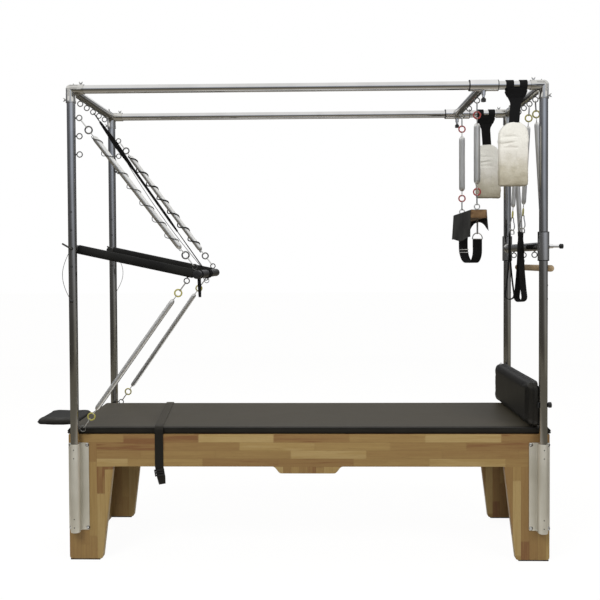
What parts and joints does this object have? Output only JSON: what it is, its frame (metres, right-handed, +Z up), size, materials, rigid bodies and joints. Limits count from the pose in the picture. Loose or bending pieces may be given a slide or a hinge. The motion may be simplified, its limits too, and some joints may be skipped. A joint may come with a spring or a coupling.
{
  "type": "pilates trapeze table",
  "caption": "Padded wooden exercise bench under a steel tube canopy with a sprung push-through bar, sliding trapeze, hanging straps, foot loops and a roll-down bar.",
  "frame": {"origin": "on the floor under the middle of the whole table's box", "axes": "+X along the bench towards the footboard and the hanging straps, +Y across it towards the rear rail, +Z up"},
  "size_m": [2.4212, 0.7652, 2.155],
  "materials": {
    "panel_wood": "satin",
    "foot_rubber": "matte",
    "deck_wood": "matte",
    "pad_cover": "satin",
    "socket_aluminium": "satin",
    "tube_steel": "polished",
    "knob_plastic": "satin",
    "bar_steel": "satin",
    "foam_grip": "matte",
    "pin_steel": "satin",
    "spring_steel": "polished",
    "black_webbing": "matte",
    "board_wood": "satin",
    "hide_cover": "satin",
    "fleece": "matte",
    "dowel_wood": "satin"
  },
  "bodies": {
    "bench_and_canopy": {"side_frame_front": "panel_wood", "side_frame_rear": "panel_wood", "end_panel_left": "panel_wood", "end_panel_right": "panel_wood", "foot_pad_front_left": "foot_rubber", "foot_pad_front_right": "foot_rubber", "foot_pad_rear_left": "foot_rubber", "foot_pad_rear_right": "foot_rubber", "deck_board": "deck_wood", "mattress": "pad_cover", "footboard_pad": "pad_cover", "head_pad": "pad_cover", "post_socket_front_left": "socket_aluminium", "post_socket_front_right": "socket_aluminium", "post_socket_rear_left": "socket_aluminium", "post_socket_rear_right": "socket_aluminium", "post_front_left": "tube_steel", "post_front_right": "tube_steel", "post_rear_left": "tube_steel", "post_rear_right": "tube_steel", "top_rail_front": "tube_steel", "top_rail_rear": "tube_steel", "end_crossbar_left": "tube_steel", "end_crossbar_right": "tube_steel", "footboard_bolt_front": "knob_plastic", "footboard_bolt_rear": "knob_plastic", "pivot_pin_front": "pin_steel", "pivot_pin_rear": "pin_steel", "bench_belt": "black_webbing"},
    "push_bar": {"push_through_bar": "bar_steel", "arm_cover_front": "foam_grip", "arm_cover_rear": "foam_grip", "push_spring_upper_front": "spring_steel", "push_spring_upper_rear": "spring_steel", "push_spring_lower_front": "spring_steel", "push_spring_lower_rear": "spring_steel", "safety_cord_front": "black_webbing", "safety_cord_rear": "black_webbing", "safety_strap": "black_webbing"},
    "canopy_slider": {"top_slider": "tube_steel"},
    "canopy_plunger_front": {"top_plunger_front": "knob_plastic"},
    "canopy_plunger_rear": {"top_plunger_rear": "knob_plastic"},
    "trapeze": {"trapeze_board": "board_wood", "trapeze_cover": "hide_cover", "trapeze_sling": "black_webbing", "trapeze_spring_front": "spring_steel", "trapeze_spring_rear": "spring_steel"},
    "post_slider": {"end_slider": "tube_steel"},
    "post_plunger_front": {"end_plunger_front": "knob_plastic"},
    "post_plunger_rear": {"end_plunger_rear": "knob_plastic"},
    "roll_down": {"roll_down_bar": "dowel_wood", "roll_spring_front": "spring_steel", "roll_spring_rear": "spring_steel"},
    "foot_strap_front": {"foot_spring_front": "spring_steel", "foot_loop_front": "black_webbing"},
    "foot_strap_rear": {"foot_spring_rear": "spring_steel", "foot_loop_rear": "black_webbing"},
    "hanging_strap_front": {"fleece_strap_front": "fleece"},
    "hanging_strap_rear": {"fleece_strap_rear": "fleece"}
  },
  "joints": [
    {"name": "push_bar_pivot", "type": "hinge", "parent": "bench_and_canopy", "child": "push_bar", "pos_m": [-0.96535, 0, 1.413], "axis": [0, 1, 0], "range_deg": [-20, 20], "stiffness_Nm_per_rad": 200, "springref_deg": -14.44, "deforming": ["push_spring_upper_front", "push_spring_lower_front", "safety_cord_front", "push_spring_upper_rear", "push_spring_lower_rear", "safety_cord_rear", "safety_strap"]},
    {"name": "canopy_slider_travel", "type": "slide", "parent": "bench_and_canopy", "child": "canopy_slider", "axis": [1, 0, 0], "range_m": [-1.1, 0.02]},
    {"name": "post_slider_travel", "type": "slide", "parent": "bench_and_canopy", "child": "post_slider", "axis": [0, 0, 1], "range_m": [-0.55, 0]},
    {"name": "trapeze_swing", "type": "hinge", "parent": "canopy_slider", "child": "trapeze", "pos_m": [0.86165, 0, 2.0835], "axis": [0, 1, 0], "range_deg": [-12, 40]},
    {"name": "roll_down_swing", "type": "hinge", "parent": "bench_and_canopy", "child": "roll_down", "pos_m": [1.12465, 0, 2.0835], "axis": [0, -1, 0], "range_deg": [0, 60]},
    {"name": "canopy_plunger_front_pull", "type": "slide", "parent": "canopy_slider", "child": "canopy_plunger_front", "axis": [0, 0, -1], "range_m": [0, 0.01], "stiffness_N_per_m": 600, "springref_m": -0.004},
    {"name": "post_plunger_front_pull", "type": "slide", "parent": "post_slider", "child": "post_plunger_front", "axis": [1, 0, 0], "range_m": [0, 0.01], "stiffness_N_per_m": 600, "springref_m": -0.004},
    {"name": "foot_strap_front_swing", "type": "hinge", "parent": "bench_and_canopy", "child": "foot_strap_front", "pos_m": [1.12465, -0.105, 2.0835], "axis": [0, 1, 0], "range_deg": [0, 12]},
    {"name": "hanging_strap_front_swing", "type": "hinge", "parent": "bench_and_canopy", "child": "hanging_strap_front", "pos_m": [1.00465, -0.35, 2.12], "axis": [1, 0, 0], "range_deg": [-20, 20]},
    {"name": "canopy_plunger_rear_pull", "type": "slide", "parent": "canopy_slider", "child": "canopy_plunger_rear", "axis": [0, 0, -1], "range_m": [0, 0.01], "stiffness_N_per_m": 600, "springref_m": -0.004},
    {"name": "post_plunger_rear_pull", "type": "slide", "parent": "post_slider", "child": "post_plunger_rear", "axis": [1, 0, 0], "range_m": [0, 0.01], "stiffness_N_per_m": 600, "springref_m": -0.004},
    {"name": "foot_strap_rear_swing", "type": "hinge", "parent": "bench_and_canopy", "child": "foot_strap_rear", "pos_m": [1.12465, 0.105, 2.0835], "axis": [0, 1, 0], "range_deg": [0, 12]},
    {"name": "hanging_strap_rear_swing", "type": "hinge", "parent": "bench_and_canopy", "child": "hanging_strap_rear", "pos_m": [1.00465, 0.35, 2.12], "axis": [1, 0, 0], "range_deg": [-20, 20]}
  ]
}
